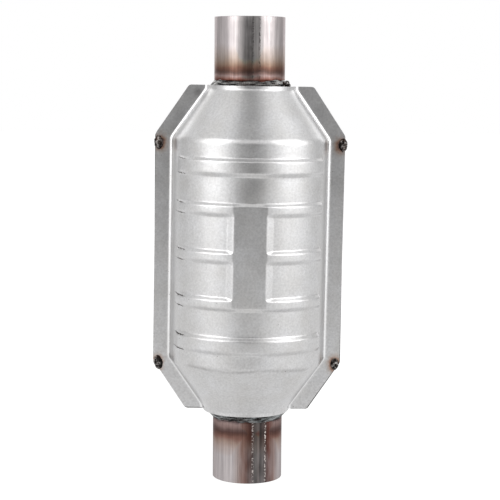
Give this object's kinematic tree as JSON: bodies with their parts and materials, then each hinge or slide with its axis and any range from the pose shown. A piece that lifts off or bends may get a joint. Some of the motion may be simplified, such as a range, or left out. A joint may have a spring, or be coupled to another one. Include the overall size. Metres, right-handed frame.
{
  "type": "catalytic converter",
  "caption": "Round universal exhaust catalytic converter with stub pipes at both ends and a ribbed two-piece heat shield.",
  "frame": {"origin": "centre of the outlet pipe's end face, on the exhaust axis", "axes": "+Z along the exhaust axis from the outlet to the inlet; the shield flanges lie in the XZ plane and the front half shell faces -Y"},
  "size_m": [0.1408, 0.1208, 0.3355],
  "materials": {
    "pipe": "drawn stainless tube with straw, purple and blue heat tint near the weld",
    "can": "pressed and rolled stainless sheet, lightly oxidised",
    "weld": "rippled arc weld, dark with oxide",
    "cordierite": "matte fired ceramic with a tan washcoat",
    "mat": "felted ceramic fibre",
    "wire_seal": "knitted and compressed stainless wire",
    "shield": "satin pressed sheet with fine rolling grain and tool marks",
    "nugget": "dark burnt weld metal with spatter"
  },
  "bodies": {
    "root": {"inlet_pipe": "pipe", "outlet_pipe": "pipe", "inlet_cone": "can", "outlet_cone": "can", "can_tube": "can", "inlet_neck_weld": "weld", "outlet_neck_weld": "weld", "inlet_cone_weld": "weld", "outlet_cone_weld": "weld", "inlet_brick": "cordierite", "outlet_brick": "cordierite", "inlet_mat": "mat", "outlet_mat": "mat", "inlet_outer_seal": "wire_seal", "inlet_inner_seal": "wire_seal", "outlet_inner_seal": "wire_seal", "outlet_outer_seal": "wire_seal", "heat_shield_front": "shield", "heat_shield_rear": "shield", "flange_weld_upper_left": "nugget", "flange_weld_upper_right": "nugget", "flange_weld_lower_left": "nugget", "flange_weld_lower_right": "nugget", "collar_tack": "nugget"}
  },
  "joints": []
}
